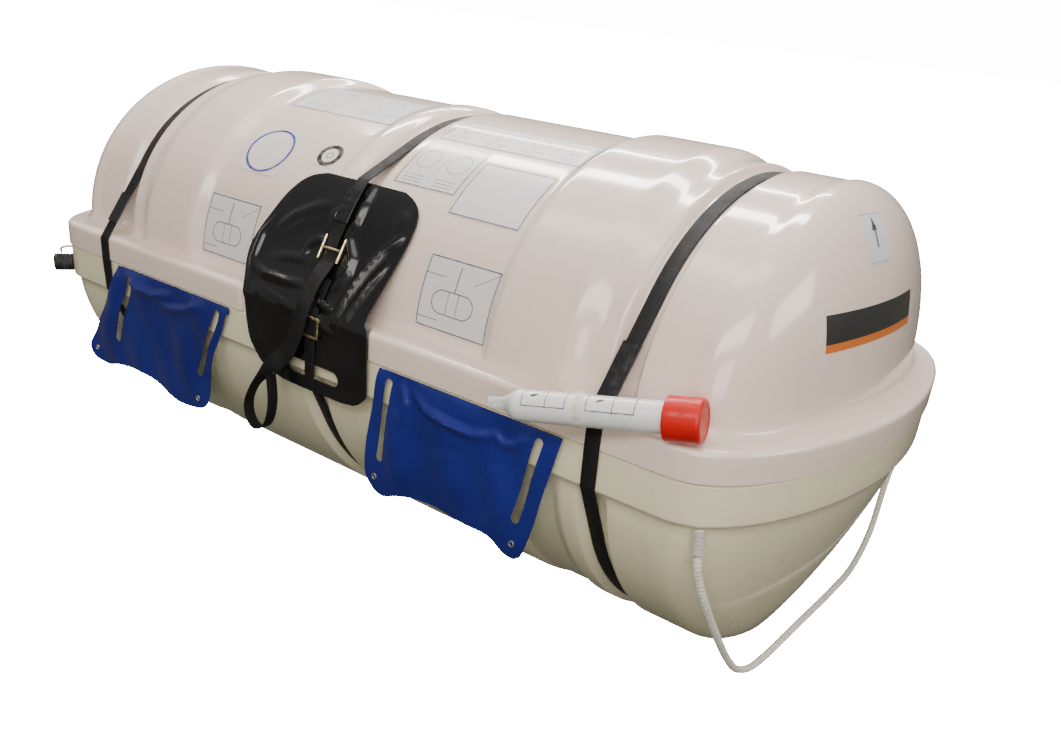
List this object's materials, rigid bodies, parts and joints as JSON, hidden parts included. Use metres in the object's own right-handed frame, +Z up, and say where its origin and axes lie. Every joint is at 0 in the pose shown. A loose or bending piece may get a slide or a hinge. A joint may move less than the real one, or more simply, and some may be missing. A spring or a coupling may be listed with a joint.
{
  "type": "packed inflatable life raft",
  "caption": "Inflatable life raft packed in its closed two-half moulded canister, with webbing bands, a buckled pad, hanging sheets, an instruction tube and a rope loop.",
  "frame": {"origin": "on the floor under the middle of the whole outline, 30 mm in front of the middle of the keel flat", "axes": "+X along the canister towards the end with the rope loop, -Y towards the front with the pad, +Z up"},
  "size_m": [1.6, 0.8034, 0.7084],
  "materials": {
    "gelcoat": "glossy ivory gelcoat over moulded laminate",
    "webbing": "black woven webbing",
    "black_sheet": "black coated fabric, wrinkled",
    "blue_sheet": "royal blue coated fabric, glossy",
    "white_plastic": "white moulded tube",
    "red_plastic": "red moulded cap",
    "rope": "cream laid rope",
    "packed_fabric": "folded raft fabric",
    "brass": "bright brass",
    "rubber": "matte black rubber"
  },
  "bodies": {
    "lower_half": {"lower_shell": "gelcoat", "packed_raft": "packed_fabric", "band_right_lower": "webbing", "band_left_lower": "webbing", "band_centre_lower": "webbing", "sheet_left": "blue_sheet", "sheet_right": "blue_sheet", "rope_loop": "rope", "rope_end_front": "rope", "rope_end_back": "rope", "bung": "rubber", "bung_cord": "rope"},
    "upper_half": {"upper_shell": "gelcoat", "band_right_upper": "webbing", "band_left_upper": "webbing", "band_centre_upper": "webbing", "strap_front": "webbing", "band_tail": "webbing", "buckle_large": "brass", "buckle_small": "brass", "sleeve_right": "rubber", "sleeve_left": "rubber", "sleeve_centre": "rubber", "painter_pad": "black_sheet", "tube_body": "white_plastic", "tube_tie": "rope"},
    "tube_cap": {"tube_cap": "red_plastic"}
  },
  "joints": [
    {"name": "lid_lift", "type": "slide", "parent": "lower_half", "child": "upper_half", "axis": [0, 0, 1], "range_m": [0, 0.35]},
    {"name": "tube_cap_pull", "type": "slide", "parent": "upper_half", "child": "tube_cap", "axis": [0.9576, 0.2417, 0.1566], "range_m": [0, 0.06]}
  ]
}
